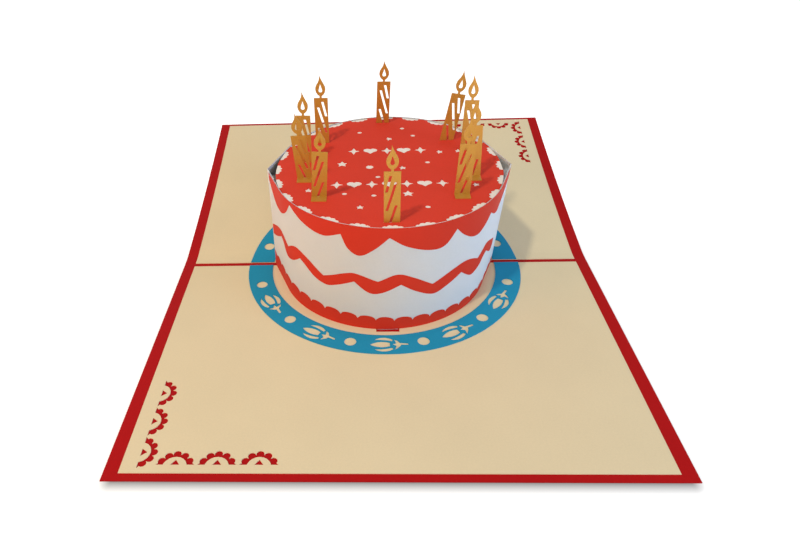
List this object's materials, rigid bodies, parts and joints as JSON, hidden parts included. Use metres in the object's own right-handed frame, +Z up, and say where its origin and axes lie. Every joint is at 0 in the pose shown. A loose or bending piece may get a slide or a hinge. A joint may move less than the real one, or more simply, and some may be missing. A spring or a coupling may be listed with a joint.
{
  "type": "pop up card",
  "caption": "Open pop up card: a round paper cake with flat candles stands over the fold inside a ring, on cream liners with cut corner trim in a folded cover",
  "frame": {"origin": "the middle of the card's footprint, on the surface it lies on", "axes": "+X to the right along the fold, +Y away from the reader, +Z up"},
  "size_m": [0.2, 0.2578, 0.0888],
  "materials": {
    "red_card": "matte",
    "cream_card": "matte",
    "blue_card": "matte",
    "white_card": "matte",
    "orange_red_card": "matte",
    "gold_card": "satin"
  },
  "bodies": {
    "root": {"cover": "red_card", "front_liner": "cream_card", "back_liner": "cream_card", "front_plate_ring": "blue_card", "back_plate_ring": "blue_card", "front_wall": "white_card", "back_wall": "white_card", "top_disc": "orange_red_card", "top_underlay": "cream_card", "front_rib": "white_card", "middle_rib": "white_card", "back_rib": "white_card", "candle_front": "gold_card", "candle_back": "gold_card", "candle_left_back": "gold_card", "candle_left_front": "gold_card", "candle_back_left": "gold_card", "candle_front_left": "gold_card", "candle_back_right": "gold_card", "candle_right_back": "gold_card", "candle_right_front": "gold_card", "candle_front_right": "gold_card"}
  },
  "joints": []
}
